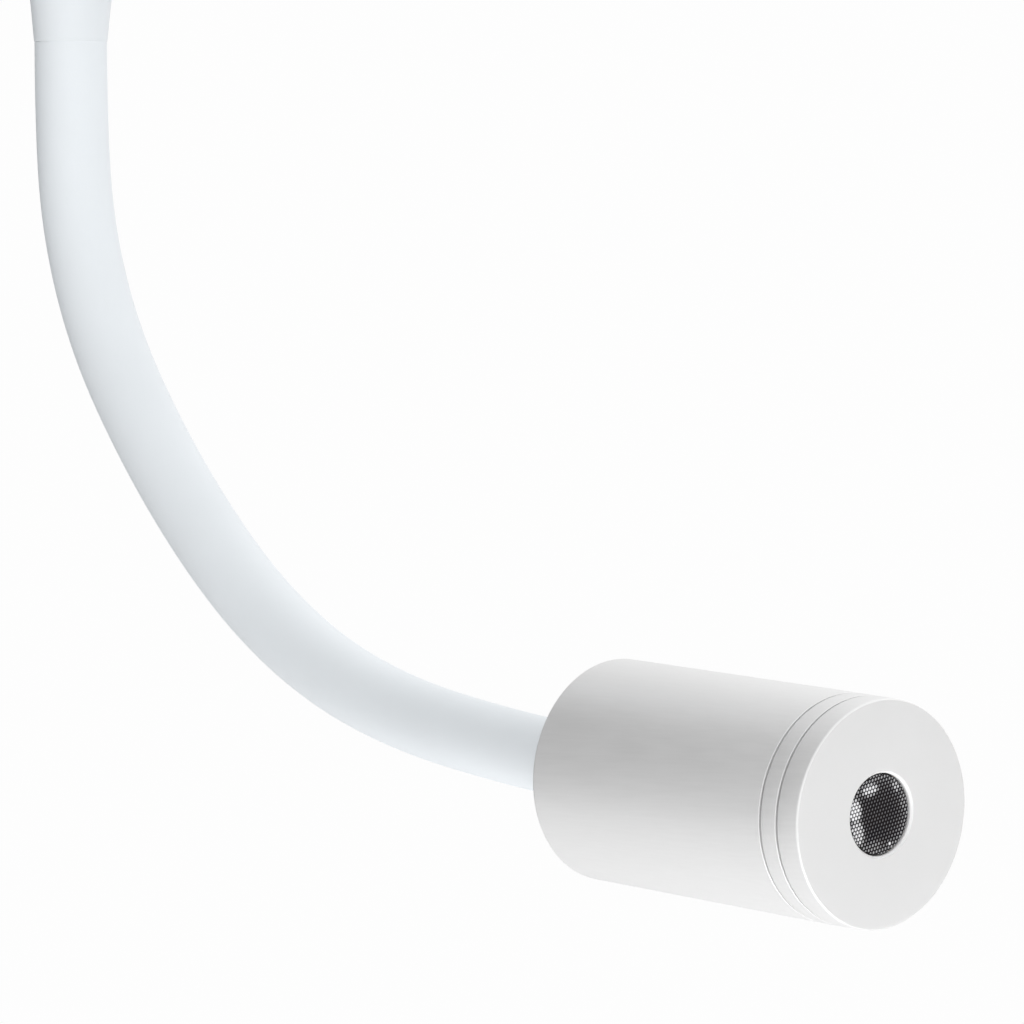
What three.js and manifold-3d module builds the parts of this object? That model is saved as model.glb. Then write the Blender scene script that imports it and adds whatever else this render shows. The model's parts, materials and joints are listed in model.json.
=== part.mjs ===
// Wall-mounted examination lamp: a small housing on the wall, a flexible neck that hangs from a
// swivel in its underside, and a cylindrical light head with a turning dimmer ring.
//
// Millimetres, +Z up. The wall is the plane y = 0, the lamp reaches out along -Y, and the origin
// is the middle of the wall plate's back face. The neck bends in the plane x = 0.

import * as THREE from 'three';
import { mergeVertices } from 'three/addons/utils/BufferGeometryUtils.js';
import Module from 'manifold-3d';

const wasm = await Module();
wasm.setup();

// ---------------------------------------------------------------- driving dimensions

const GAP = 0.3;                  // left between pieces that touch

// Housing on the wall
const BASE_WIDTH = 78;
const BASE_HEIGHT = 120;
const BASE_DEPTH = 50;
const BASE_CORNER = 20;           // corner radius seen from the front
const BASE_EDGE = 7;              // rounding of the front edge
const BASE_WALL = 2.6;
const PLATE_THICKNESS = 2.4;
const SCREW_RADIUS = 1.5;         // small machine screws
const SCREW_HEAD = 2.8;
const COVER_SCREW_Y = -9;
const CABLE_ENTRY_Z = 36;
const CABLE_HOLE = 7;
const CABLE_BORE = 3.6;
const WALL_HOLE_Z = 48;
const WALL_HOLE = 2.4;
const BOARD_Y = -11;              // wall side of the driver board
const BOARD_THICKNESS = 1.6;
const BOARD_WIDTH = 56;
const BOARD_LOW = -40;
const BOARD_HIGH = 14;
const SWITCH_Z = 30;

// Rocker switch
const ROCKER_WIDTH = 9.6;
const ROCKER_HALF = 8;            // half of its length
const ROCKER_ANGLE = 10;          // each way from the middle, degrees
const ROCKER_PIVOT_DEPTH = 3.4;   // pivot below the housing's front face

// Swivel and collar, measured down from the housing's underside
const NECK_Y = -27;
const STEM_RADIUS = 6;
const STEM_BORE = 4;
const COLLAR_TOP = 1.6;
const COLLAR_LENGTH = 33;         // to the lip where the sheath starts
const STEM_END = 18;

// Flexible neck
const NECK_RADIUS = 8.25;
const SHEATH_BORE = 6.3;
const CORE_RADIUS = SHEATH_BORE - GAP;
const CORE_BORE = 2.5;
const LINK_PITCH = 27.3;
const SOCKET_RADIUS = NECK_RADIUS + 0.4;
const REST_BENDS = [4, 15.5, 14.5, 6.5, 7, 11, 12, 8, 2.5, 3.1];   // degrees, base to head

// Light head, measured forward from its rear face
const HEAD_RADIUS = 25;
const HEAD_REAR_RADIUS = 24.3;    // the body narrows slightly towards the neck
const HEAD_LENGTH = 84;
const GROOVE_WIDTH = 0.6;
const REAR_GROOVE = 72.4;         // middle of the groove behind the ring
const FRONT_GROOVE = 77.5;        // middle of the groove in front of the ring
const SPIGOT_RADIUS = 21.5;
const HEAD_BORE = 22.5;
const FRONT_BORE = 20;
const FERRULE_SLEEVE = 6.6;       // length of the ferrule outside the head
const REAR_CAP_THICKNESS = 4;
const CAP_WALL = 3;
const CAP_EDGE = 0.6;             // rounding round the cap's face
const APERTURE_RADIUS = 9;
const LENS_FACE = HEAD_LENGTH - 0.8;
const HEATSINK_FACE = 62;
const LED_BOARD_RADIUS = 15;
const BOARD_SCREW_OFFSET = 12;
const LEAD_OFFSET = 11;
const LEAD_RADIUS = 1.5;

const FINE = 40;                  // segments round the head
const MEDIUM = 24;
const COARSE = 16;
const INNER = 12;                  // segments round the hidden core

// ---------------------------------------------------------------- helpers

const rad = THREE.MathUtils.degToRad;

// A solid turned about Z from [radius, z] points, anticlockwise with the outside going up.
function turned(points, segments) {
  const outline = points.map(([radius, z]) => new THREE.Vector2(radius, z));
  return new THREE.LatheGeometry(outline, segments).rotateX(Math.PI / 2);
}

// A plain tube about Z.
function tube(inner, outer, low, high, segments = MEDIUM) {
  return turned([[inner, low], [outer, low], [outer, high], [inner, high], [inner, low]], segments);
}

// A plain disc or rod about Z.
function rod(radius, low, high, segments = COARSE) {
  return turned([[0, low], [radius, low], [radius, high], [0, high]], segments);
}

// Points on a ball about (0, centre), from one radius to another.
function ballZone(ball, centre, from, to, steps) {
  const start = Math.asin(Math.min(1, from / ball));
  const end = Math.asin(Math.min(1, to / ball));
  return Array.from({ length: steps + 1 }, (_, i) => {
    const angle = start + (end - start) * i / steps;
    return [ball * Math.sin(angle), centre + ball * Math.cos(angle)];
  });
}

function toSolid(geometry) {
  const bare = geometry.clone();
  bare.deleteAttribute('normal');
  bare.deleteAttribute('uv');
  const welded = mergeVertices(bare, 1e-3);
  const index = welded.index.array;
  const triangles = [];
  for (let i = 0; i < index.length; i += 3) {
    const [a, b, c] = [index[i], index[i + 1], index[i + 2]];
    if (a !== b && b !== c && c !== a) triangles.push(a, b, c);
  }
  return new wasm.Manifold(new wasm.Mesh({
    numProp: 3,
    vertProperties: Float32Array.from(welded.attributes.position.array),
    triVerts: Uint32Array.from(triangles),
  }));
}

function toGeometry(solid) {
  const mesh = solid.getMesh();
  const geometry = new THREE.BufferGeometry();
  geometry.setAttribute('position', new THREE.BufferAttribute(mesh.vertProperties, 3));
  geometry.setIndex(new THREE.BufferAttribute(mesh.triVerts, 1));
  geometry.computeVertexNormals();
  return geometry;
}

function cut(geometry, ...tools) {
  return toGeometry(tools.reduce((solid, tool) => solid.subtract(toSolid(tool)), toSolid(geometry)));
}

function join(geometry, ...others) {
  return toGeometry(others.reduce((solid, other) => solid.add(toSolid(other)), toSolid(geometry)));
}

function roundedRectangle(width, height, corner) {
  const x = width / 2 - corner;
  const z = height / 2 - corner;
  const shape = new THREE.Shape();
  shape.absarc(x, z, corner, 0, Math.PI / 2);
  shape.absarc(-x, z, corner, Math.PI / 2, Math.PI);
  shape.absarc(-x, -z, corner, Math.PI, 1.5 * Math.PI);
  shape.absarc(x, -z, corner, 1.5 * Math.PI, 2 * Math.PI);
  return shape;
}

// An outline drawn in X and Z, made solid from y = back out to y = front (both 0 or less).
function slab(shape, back, front, curveSegments = 4) {
  const options = { depth: back - front, bevelEnabled: false, curveSegments };
  return new THREE.ExtrudeGeometry(shape, options).rotateX(Math.PI / 2).translate(0, back, 0);
}

// A block with its front edge rounded, square at the back.
function pillow(width, height, corner, edge, back, front) {
  const shape = roundedRectangle(width - 2 * edge, height - 2 * edge, corner - edge);
  const options = {
    depth: back - front, bevelThickness: edge, bevelSize: edge, bevelSegments: 3, curveSegments: 4,
  };
  const block = new THREE.ExtrudeGeometry(shape, options).rotateX(Math.PI / 2);
  block.translate(0, back - edge + 2 * edge, 0);
  const behind = box(2 * width, 4 * edge, 2 * height).translate(0, back + 2 * edge, 0);
  return cut(block, behind);
}

function box(x, y, z) {
  return new THREE.BoxGeometry(x, y, z);
}

// A rod along X or along Y.
function rodX(radius, low, high, segments = COARSE) {
  return rod(radius, low, high, segments).rotateY(Math.PI / 2);
}

function rodY(radius, low, high, segments = COARSE) {
  return rod(radius, -high, -low, segments).rotateX(Math.PI / 2);
}

function lead(points) {
  const section = new THREE.Shape();
  section.absarc(0, 0, LEAD_RADIUS, 0, 2 * Math.PI);
  const route = new THREE.CatmullRomCurve3(points.map(([x, y, z]) => new THREE.Vector3(x, y, z)));
  const options = { steps: 14, curveSegments: 4, extrudePath: route, bevelEnabled: false };
  return new THREE.ExtrudeGeometry(section, options);
}

function finish(color, roughness, metalness) {
  return () => new THREE.MeshStandardMaterial({ color, roughness, metalness });
}

const WHITE_PLASTIC = finish(0xeceff0, 0.45, 0);
const WHITE_SHEATH = finish(0xe6ecf0, 0.6, 0);
const SATIN_ALUMINIUM = finish(0xdcdcdc, 0.42, 0.35);
const BARE_ALUMINIUM = finish(0xb9bcc0, 0.4, 0.9);
const STEEL = finish(0x9a9ea2, 0.35, 1);
const CAP_PLASTIC = finish(0xe4e4e4, 0.5, 0);
const CLEAR_LENS = finish(0x3a3a3d, 0.08, 0);
const BLACK_PLASTIC = finish(0x1c1d1f, 0.5, 0);
const GREEN_BOARD = finish(0x1f5f3a, 0.5, 0);
const WHITE_BOARD = finish(0xf2f2ee, 0.5, 0);
const RUBBER = finish(0x3b3d40, 0.85, 0);
const PHOSPHOR = finish(0xf0d35a, 0.4, 0);
const COPPER_TAPE = finish(0xd9b24a, 0.5, 0);

function piece(holder, name, geometry, material) {
  const mesh = new THREE.Mesh(geometry, material());
  mesh.name = name;
  holder.add(mesh);
  return mesh;
}

const lamp = new THREE.Group();

// ---------------------------------------------------------------- wall plate and housing

function wallPlate() {
  const inset = BASE_WALL + GAP;
  const shape = roundedRectangle(BASE_WIDTH - 2 * inset, BASE_HEIGHT - 2 * inset, BASE_CORNER - inset);
  let plate = slab(shape, 0, -PLATE_THICKNESS);
  const standoffs = [];
  for (const x of [-22, 22]) {
    for (const z of [BOARD_LOW + 5, BOARD_HIGH - 5]) {
      standoffs.push(rodY(3, BOARD_Y + GAP, -1).translate(x, 0, z));
    }
  }
  const ears = [-1, 1].map((side) => (
    box(2, 14, 14).translate(side * (BASE_WIDTH / 2 - inset - 1), -8, 0)));
  plate = join(plate, ...standoffs, ...ears);
  const wallHoles = [-1, 1].map((side) => rodY(WALL_HOLE, -9, 3).translate(0, 0, side * WALL_HOLE_Z));
  const cableHole = rodY(CABLE_HOLE, -9, 3, MEDIUM).translate(0, 0, CABLE_ENTRY_Z);
  const earHoles = rodX(SCREW_RADIUS + GAP, -BASE_WIDTH, BASE_WIDTH).translate(0, COVER_SCREW_Y, 0);
  return cut(plate, ...wallHoles, cableHole, earHoles);
}

function housing() {
  const outside = pillow(BASE_WIDTH, BASE_HEIGHT, BASE_CORNER, BASE_EDGE, -GAP, -BASE_DEPTH);
  const inside = pillow(BASE_WIDTH - 2 * BASE_WALL, BASE_HEIGHT - 2 * BASE_WALL,
    BASE_CORNER - BASE_WALL, BASE_EDGE - BASE_WALL, 1, BASE_WALL - BASE_DEPTH);
  const stemHole = rod(8.3, -BASE_HEIGHT / 2 - 2, -BASE_HEIGHT / 2 + 6, MEDIUM).translate(0, NECK_Y, 0);
  const switchHole = box(13.6, 12, 22.6).translate(0, -BASE_DEPTH, SWITCH_Z);
  const screwHole = rodX(SCREW_RADIUS + GAP, -BASE_WIDTH, BASE_WIDTH).translate(0, COVER_SCREW_Y, 0);
  return cut(outside, inside, stemHole, switchHole, screwHole);
}

function coverScrew(side) {
  const outer = BASE_WIDTH / 2;
  const head = rodX(SCREW_HEAD, outer + GAP, outer + 1.8);
  const shank = rodX(SCREW_RADIUS, outer - 7, outer + 1);
  const slot = box(1.4, 7, 0.8).translate(outer + 1.6, 0, 0);
  const screw = cut(join(head, shank), slot).rotateZ(side > 0 ? 0 : Math.PI);
  return screw.translate(0, COVER_SCREW_Y, 0);
}

function inletGrommet() {
  const behind = -GAP;
  const flange = -PLATE_THICKNESS - GAP;
  const outline = [[CABLE_BORE, -behind], [CABLE_HOLE - GAP, -behind], [CABLE_HOLE - GAP, -flange],
    [CABLE_HOLE + 2, -flange], [CABLE_HOLE + 1.6, 1.8 - flange], [CABLE_BORE + 0.6, 1.8 - flange],
    [CABLE_BORE, 1.2 - flange], [CABLE_BORE, -behind]];
  return turned(outline, COARSE).rotateX(Math.PI / 2).translate(0, 0, CABLE_ENTRY_Z);
}

piece(lamp, 'wall_plate', wallPlate(), BARE_ALUMINIUM);
piece(lamp, 'base_housing', housing(), WHITE_PLASTIC);
piece(lamp, 'cover_screw_left', coverScrew(-1), STEEL);
piece(lamp, 'cover_screw_right', coverScrew(1), STEEL);
piece(lamp, 'inlet_grommet', inletGrommet(), RUBBER);

// ---------------------------------------------------------------- electronics in the housing

const boardFront = BOARD_Y - BOARD_THICKNESS;

function driverBoard() {
  const height = BOARD_HIGH - BOARD_LOW;
  const board = slab(roundedRectangle(BOARD_WIDTH, height, 2), BOARD_Y, boardFront, 2);
  return board.translate(0, 0, (BOARD_HIGH + BOARD_LOW) / 2);
}

// A ferrite core with its two flanges and the winding between them.
function transformer() {
  const low = boardFront - GAP;
  const flanges = [-9, 9].map((z) => box(20, 15, 4).translate(0, low - 7.5, z));
  const winding = rod(6, -9, 9, MEDIUM).translate(0, low - 7.5, 0);
  return join(winding, ...flanges).translate(-12, 0, -12);
}

function capacitor() {
  const low = boardFront - GAP;
  const outline = [[0, 0], [5, 0], [5, 1.4], [4.6, 1.8], [5, 2.2], [5, 15.4], [4.6, 16], [0, 16]];
  return turned(outline, COARSE).rotateX(Math.PI / 2).translate(14, low, -20);
}

function terminalBlock() {
  const low = boardFront - GAP;
  const body = box(16, 9, 9).translate(0, low - 4.5, 6);
  const screws = [-4, 4].map((x) => rodY(1.8, low - 12, low - 6, COARSE).translate(x, 0, 6));
  return cut(body, ...screws).translate(14, 0, 0);
}

function baseLead() {
  const stemTop = -BASE_HEIGHT / 2 + 14;
  return lead([
    [14, boardFront - 5, 1.1], [14, boardFront - 5, -3], [8, -23, -12], [2, NECK_Y, -24],
    [0, NECK_Y, -34], [0, NECK_Y, stemTop + GAP],
  ]);
}

piece(lamp, 'driver_board', driverBoard(), GREEN_BOARD);
piece(lamp, 'transformer', transformer(), COPPER_TAPE);
piece(lamp, 'capacitor', capacitor(), BLACK_PLASTIC);
piece(lamp, 'terminal_block', terminalBlock(), GREEN_BOARD);
piece(lamp, 'base_lead', baseLead(), WHITE_PLASTIC);

// ---------------------------------------------------------------- rocker switch

const rockerPivot = new THREE.Vector3(0, -BASE_DEPTH + ROCKER_PIVOT_DEPTH, SWITCH_Z);

function switchBody() {
  const face = -BASE_DEPTH - GAP;
  const bezel = slab(roundedRectangle(16, 25, 1.5), face, face - 1.5, 2);
  const barrel = box(13, 14, 22).translate(0, face + 6.5, 0);
  const window = box(ROCKER_WIDTH + 2 * GAP, 12, 2 * ROCKER_HALF + 2.8);
  window.translate(0, rockerPivot.y - 1.6, 0);
  const bearings = rodX(1.2 + GAP, -6, 6).translate(0, rockerPivot.y, 0);
  const body = cut(join(bezel, barrel), window, bearings);
  return body.translate(0, 0, SWITCH_Z);
}

// Two faces that meet in a shallow valley, on trunnions; drawn level and then tilted to "off".
function rocker() {
  const rise = ROCKER_HALF * Math.tan(rad(ROCKER_ANGLE));
  const face = 4.6;
  const shape = new THREE.Shape();
  shape.moveTo(-ROCKER_HALF, face + rise);
  shape.lineTo(-ROCKER_HALF + 1, -1.6);
  shape.lineTo(ROCKER_HALF - 1, -1.6);
  shape.lineTo(ROCKER_HALF, face + rise);
  shape.lineTo(0, face);
  const options = { depth: ROCKER_WIDTH, bevelEnabled: false };
  const wedge = new THREE.ExtrudeGeometry(shape, options).translate(0, 0, -ROCKER_WIDTH / 2);
  wedge.rotateY(Math.PI / 2).rotateX(Math.PI);
  const trunnions = rodX(1.2, -5.6, 5.6);
  return join(wedge, trunnions);
}

const rockerGroup = new THREE.Group();
rockerGroup.position.copy(rockerPivot);
rockerGroup.rotation.x = rad(ROCKER_ANGLE);
lamp.add(rockerGroup);
piece(lamp, 'switch_body', switchBody(), BLACK_PLASTIC);
piece(rockerGroup, 'rocker', rocker(), BLACK_PLASTIC);

// ---------------------------------------------------------------- swivel and collar

// Local +Z runs down the neck and local +Y out into the room.
const swivel = new THREE.Group();
swivel.position.set(0, NECK_Y, -BASE_HEIGHT / 2);
swivel.rotation.x = Math.PI;
lamp.add(swivel);

const stemClear = STEM_RADIUS + GAP;

function swivelBush() {
  return turned([[stemClear, -3.6], [8, -3.6], [8, GAP], [11.5, GAP], [11.5, 1.3], [stemClear, 1.3],
    [stemClear, -3.6]], MEDIUM);
}

function stemNut() {
  const hexagon = new THREE.CylinderGeometry(9.8, 9.8, 5, 6).rotateX(Math.PI / 2).translate(0, 0, -7.7);
  return cut(hexagon, rod(stemClear, -20, 10, MEDIUM));
}

function collar() {
  const ferruleClear = 7.3;
  return turned([
    [stemClear, COLLAR_TOP], [11.7, COLLAR_TOP], [12.1, COLLAR_TOP + 0.6], [12, 4], [10.5, 13],
    [9.35, 22.7], [8.7, 29], [8.45, COLLAR_LENGTH - GAP - 0.4], [8.2, COLLAR_LENGTH - GAP],
    [ferruleClear, COLLAR_LENGTH - GAP], [ferruleClear, STEM_END + GAP], [stemClear, STEM_END + GAP],
    [stemClear, COLLAR_TOP],
  ], MEDIUM);
}

piece(swivel, 'swivel_bush', swivelBush(), BLACK_PLASTIC);
piece(swivel, 'friction_washer', tube(6.4, 11, -4.9, -3.9), STEEL);
piece(swivel, 'stem_nut', stemNut(), STEEL);
piece(swivel, 'swivel_stem', tube(STEM_BORE, STEM_RADIUS, -14, STEM_END), STEEL);
piece(swivel, 'neck_collar', collar(), WHITE_PLASTIC);
piece(swivel, 'neck_upper_ferrule', tube(CORE_RADIUS + GAP, 7, STEM_END + 2 * GAP, 32), BARE_ALUMINIUM);

// ---------------------------------------------------------------- flexible neck

// A tube along Z. Its start is square, or hollowed to a socket about z = 0; its end is square, or
// a zone of a ball about the next joint's centre.
function linkTube(inner, outer, start, end, segments) {
  const head = start === null
    ? ballZone(SOCKET_RADIUS, 0, inner, outer, 2)
    : [[inner, start], [outer, start]];
  const tail = end === null
    ? ballZone(NECK_RADIUS, LINK_PITCH, outer, inner, 2)
    : [[outer, end], [inner, end]];
  return turned([...head, ...tail, head[0]], segments);
}

function link(holder, number, sheathEnds, coreEnds) {
  const label = String(number).padStart(2, '0');
  const sheath = linkTube(SHEATH_BORE, NECK_RADIUS, ...sheathEnds, COARSE);
  const core = linkTube(CORE_BORE, CORE_RADIUS, ...coreEnds, INNER);
  piece(holder, `sheath_link_${label}`, sheath, WHITE_SHEATH);
  piece(holder, `core_link_${label}`, core, STEEL);
}

// The first link's frame starts one pitch above the first joint, like every other link's.
const firstLink = new THREE.Group();
firstLink.position.z = COLLAR_LENGTH - LINK_PITCH / 2;
swivel.add(firstLink);
const lipStart = LINK_PITCH / 2;
link(firstLink, 0, [lipStart, null], [lipStart - COLLAR_LENGTH + STEM_END + 2 * GAP, null]);

const lastLink = REST_BENDS.length;
const ferruleStart = LINK_PITCH / 2 - FERRULE_SLEEVE;
let holder = firstLink;
REST_BENDS.forEach((bend, i) => {
  const joint = new THREE.Group();
  joint.position.z = LINK_PITCH;
  joint.rotation.x = -rad(bend);
  holder.add(joint);
  holder = joint;
  const number = i + 1;
  const ends = [null, null];
  if (number < lastLink) link(holder, number, ends, ends);
  else link(holder, number, [null, ferruleStart - GAP], [null, LINK_PITCH / 2 + 6]);
});

// ---------------------------------------------------------------- light head

// Local z = 0 is the head's rear face and +Z points forward.
const head = new THREE.Group();
head.position.z = LINK_PITCH / 2;
holder.add(head);

const bodyEnd = REAR_GROOVE - GROOVE_WIDTH / 2;
const ringStart = REAR_GROOVE + GROOVE_WIDTH / 2;
const ringEnd = FRONT_GROOVE - GROOVE_WIDTH / 2;
const capStart = FRONT_GROOVE + GROOVE_WIDTH / 2;
const capInside = HEAD_LENGTH - CAP_WALL;
const spigotEnd = capInside - 1;

function headBody() {
  return turned([
    [HEAD_BORE, 0], [HEAD_REAR_RADIUS - 0.5, 0], [HEAD_REAR_RADIUS, 0.5], [HEAD_RADIUS, bodyEnd - 0.4],
    [HEAD_RADIUS - 0.4, bodyEnd], [SPIGOT_RADIUS, bodyEnd], [SPIGOT_RADIUS, spigotEnd],
    [FRONT_BORE, spigotEnd], [FRONT_BORE, 56], [HEAD_BORE, 56], [HEAD_BORE, 0],
  ], FINE);
}

function headRearCap() {
  const bore = CORE_RADIUS + 1.8;
  const rim = HEAD_BORE - GAP;
  return turned([
    [bore, 0.2], [rim - 0.4, 0.2], [rim, 0.6], [rim, REAR_CAP_THICKNESS], [bore + 4, REAR_CAP_THICKNESS],
    [bore + 4, 7], [bore, 7], [bore, 0.2],
  ], MEDIUM);
}

// A sleeve as thick as the neck, then a threaded end that passes through the rear cap.
function lowerFerrule() {
  const bore = CORE_RADIUS + GAP;
  const thread = bore + 1.2;
  const start = -FERRULE_SLEEVE;
  return turned([
    [bore, start], [NECK_RADIUS, start], [NECK_RADIUS + 0.2, start + 0.4], [NECK_RADIUS + 0.2, -GAP],
    [thread, -GAP], [thread, 13], [bore, 13], [bore, start],
  ], MEDIUM);
}

function ferruleNut() {
  const hexagon = new THREE.CylinderGeometry(11.6, 11.6, 4, 6).rotateX(Math.PI / 2).translate(0, 0, 9.3);
  return cut(hexagon, rod(CORE_RADIUS + 1.8, 0, 20, MEDIUM));
}

function dimmerRing() {
  const bore = SPIGOT_RADIUS + GAP;
  const ring = turned([
    [bore, ringStart], [HEAD_RADIUS - 0.4, ringStart], [HEAD_RADIUS, ringStart + 0.4],
    [HEAD_RADIUS, ringEnd - 0.4], [HEAD_RADIUS - 0.4, ringEnd], [bore, ringEnd], [bore, ringStart],
  ], FINE);
  return cut(ring, rod(1, ringStart - 1, ringStart + 2.6, COARSE).translate(0, 23.3, 0));
}

// A cup that screws over the spigot, with a round opening for the light.
function frontCap() {
  const skirt = SPIGOT_RADIUS + GAP;
  const rounding = [0, 45, 90].map((angle) => [
    HEAD_RADIUS - CAP_EDGE + CAP_EDGE * Math.cos(rad(angle)),
    HEAD_LENGTH - CAP_EDGE + CAP_EDGE * Math.sin(rad(angle)),
  ]);
  return turned([
    [skirt, capStart], [HEAD_RADIUS - 0.4, capStart], [HEAD_RADIUS, capStart + 0.4], ...rounding,
    [APERTURE_RADIUS + 0.4, HEAD_LENGTH], [APERTURE_RADIUS, HEAD_LENGTH - 0.5],
    [APERTURE_RADIUS, capInside], [skirt, capInside], [skirt, capStart],
  ], FINE);
}

// A collimating lens: a bowl-shaped body with a pocket for the lamp chip behind and a flat face.
function lens() {
  const rim = APERTURE_RADIUS - GAP;
  return turned([
    [0, 74.8], [2.6, 74.8], [3, 70.4], [4.6, 70.4], [6.6, 73], [8.6, 77], [9.4, 79.2], [10.4, 79.2],
    [10.4, 80.4], [rim, 80.4], [rim, LENS_FACE - 0.3], [rim - 0.4, LENS_FACE], [0, LENS_FACE],
  ], MEDIUM);
}

function lensHolder() {
  return turned([
    [5, 69.4], [12, 69.4], [12, 80.6], [10.8, 80.6], [10.8, 78.8], [9.8, 78.8], [9.1, 77], [7.1, 73],
    [5, 70.2], [5, 69.4],
  ], MEDIUM);
}

function ledPackage() {
  return join(box(5, 5, 0.9).translate(0, 0, 68.25), rod(1.9, 68.4, 69.1, COARSE));
}

// Cooling fins on a core, with a flat face for the lamp board and two passages: one for the lead
// and tapped ones for the board's screws.
function heatSink() {
  const outline = [[0, 34], [7, 34]];
  for (let z = 38; z < 56; z += 6) {
    outline.push([7, z], [FRONT_BORE - 1, z], [FRONT_BORE - 1, z + 2], [7, z + 2]);
  }
  outline.push([7, 57], [FRONT_BORE - GAP, 57], [FRONT_BORE - GAP, HEATSINK_FACE + 4],
    [0, HEATSINK_FACE + 4]);
  const wireHole = rod(LEAD_RADIUS + 0.6, 30, 70).translate(LEAD_OFFSET, 0, 0);
  const screwHoles = [-1, 1].map((side) => (
    rod(SCREW_RADIUS - 0.2 + GAP, 59, 70).translate(0, side * BOARD_SCREW_OFFSET, 0)));
  return cut(turned(outline, COARSE), wireHole, ...screwHoles);
}

function padOrBoard(radius, low, high) {
  const hole = (x, y) => rod(SCREW_RADIUS + GAP, low - 2, high + 2).translate(x, y, 0);
  return cut(rod(radius, low, high, MEDIUM), hole(LEAD_OFFSET, 0), hole(0, BOARD_SCREW_OFFSET),
    hole(0, -BOARD_SCREW_OFFSET));
}

function boardScrew(side) {
  const shank = SCREW_RADIUS - 0.2;
  const screw = turned([[0, 60], [shank, 60], [shank, 68.1], [2.2, 68.1], [2.2, 69.2], [0, 69.2]], COARSE);
  return screw.translate(0, side * BOARD_SCREW_OFFSET, 0);
}

function sensorBoard() {
  const board = box(9, 1.4, 8).translate(0, 17.2, 74);
  const chip = box(3, 1.2, 3).translate(0, 18, 75);
  return join(board, chip);
}

function headLead() {
  return lead([
    [0, 0, LINK_PITCH / 2 + 1], [0, 0, 19], [4, 0, 26], [LEAD_OFFSET, 0, 32], [LEAD_OFFSET, 0, 40],
    [LEAD_OFFSET, 0, 67.6],
  ]);
}

piece(head, 'head_body', headBody(), SATIN_ALUMINIUM);
piece(head, 'head_rear_cap', headRearCap(), SATIN_ALUMINIUM);
piece(head, 'neck_lower_ferrule', lowerFerrule(), WHITE_PLASTIC);
piece(head, 'ferrule_nut', ferruleNut(), STEEL);
piece(head, 'dimmer_ring', dimmerRing(), SATIN_ALUMINIUM);
piece(head, 'ring_magnet', rod(0.7, ringStart + GAP, ringStart + 2.3, 12).translate(0, 23.3, 0), STEEL);
piece(head, 'front_cap', frontCap(), CAP_PLASTIC);
piece(head, 'lens', lens(), CLEAR_LENS);
piece(head, 'lens_holder', lensHolder(), BLACK_PLASTIC);
piece(head, 'lens_gasket', tube(9.2, 10.5, 80.65, 80.8), RUBBER);
piece(head, 'heat_sink', heatSink(), BARE_ALUMINIUM);
piece(head, 'thermal_pad', padOrBoard(LED_BOARD_RADIUS, 66.2, 66.4), RUBBER);
piece(head, 'led_board', padOrBoard(LED_BOARD_RADIUS, 66.6, 67.6), WHITE_BOARD);
piece(head, 'led_package', ledPackage(), PHOSPHOR);
piece(head, 'board_screw_1', boardScrew(-1), STEEL);
piece(head, 'board_screw_2', boardScrew(1), STEEL);
piece(head, 'sensor_board', sensorBoard(), GREEN_BOARD);
piece(head, 'head_lead', headLead(), WHITE_PLASTIC);

export default lamp;
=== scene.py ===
"""Looks of the wall-mounted examination lamp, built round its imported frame. Metres, +Z up."""
import json
import math

import bmesh
import bpy
from mathutils import Matrix, Vector

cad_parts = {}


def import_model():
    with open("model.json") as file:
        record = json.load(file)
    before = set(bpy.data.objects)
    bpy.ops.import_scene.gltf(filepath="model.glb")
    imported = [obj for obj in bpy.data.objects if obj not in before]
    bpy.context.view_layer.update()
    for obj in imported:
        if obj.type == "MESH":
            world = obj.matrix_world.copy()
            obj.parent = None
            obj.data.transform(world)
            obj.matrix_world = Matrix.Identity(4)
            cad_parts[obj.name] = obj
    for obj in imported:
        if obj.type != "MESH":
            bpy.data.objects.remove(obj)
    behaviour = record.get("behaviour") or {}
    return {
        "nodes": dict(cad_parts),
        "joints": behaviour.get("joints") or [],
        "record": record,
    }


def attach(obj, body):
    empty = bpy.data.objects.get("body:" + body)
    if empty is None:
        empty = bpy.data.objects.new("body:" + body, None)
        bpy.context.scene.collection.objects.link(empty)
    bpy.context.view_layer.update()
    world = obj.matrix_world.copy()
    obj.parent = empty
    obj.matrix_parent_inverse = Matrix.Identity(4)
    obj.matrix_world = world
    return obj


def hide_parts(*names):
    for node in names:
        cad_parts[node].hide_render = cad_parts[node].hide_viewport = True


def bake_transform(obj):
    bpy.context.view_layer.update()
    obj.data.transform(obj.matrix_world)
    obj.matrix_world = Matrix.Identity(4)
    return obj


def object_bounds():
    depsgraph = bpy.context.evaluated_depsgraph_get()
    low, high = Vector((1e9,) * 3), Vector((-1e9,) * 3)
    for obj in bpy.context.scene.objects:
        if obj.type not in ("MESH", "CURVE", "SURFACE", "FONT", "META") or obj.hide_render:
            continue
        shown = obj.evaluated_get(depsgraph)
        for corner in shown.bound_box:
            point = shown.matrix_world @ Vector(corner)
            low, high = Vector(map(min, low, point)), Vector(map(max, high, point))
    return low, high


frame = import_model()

cad_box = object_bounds()
MM = 0.001

# ---------------------------------------------------------------- places taken from the frame

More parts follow.
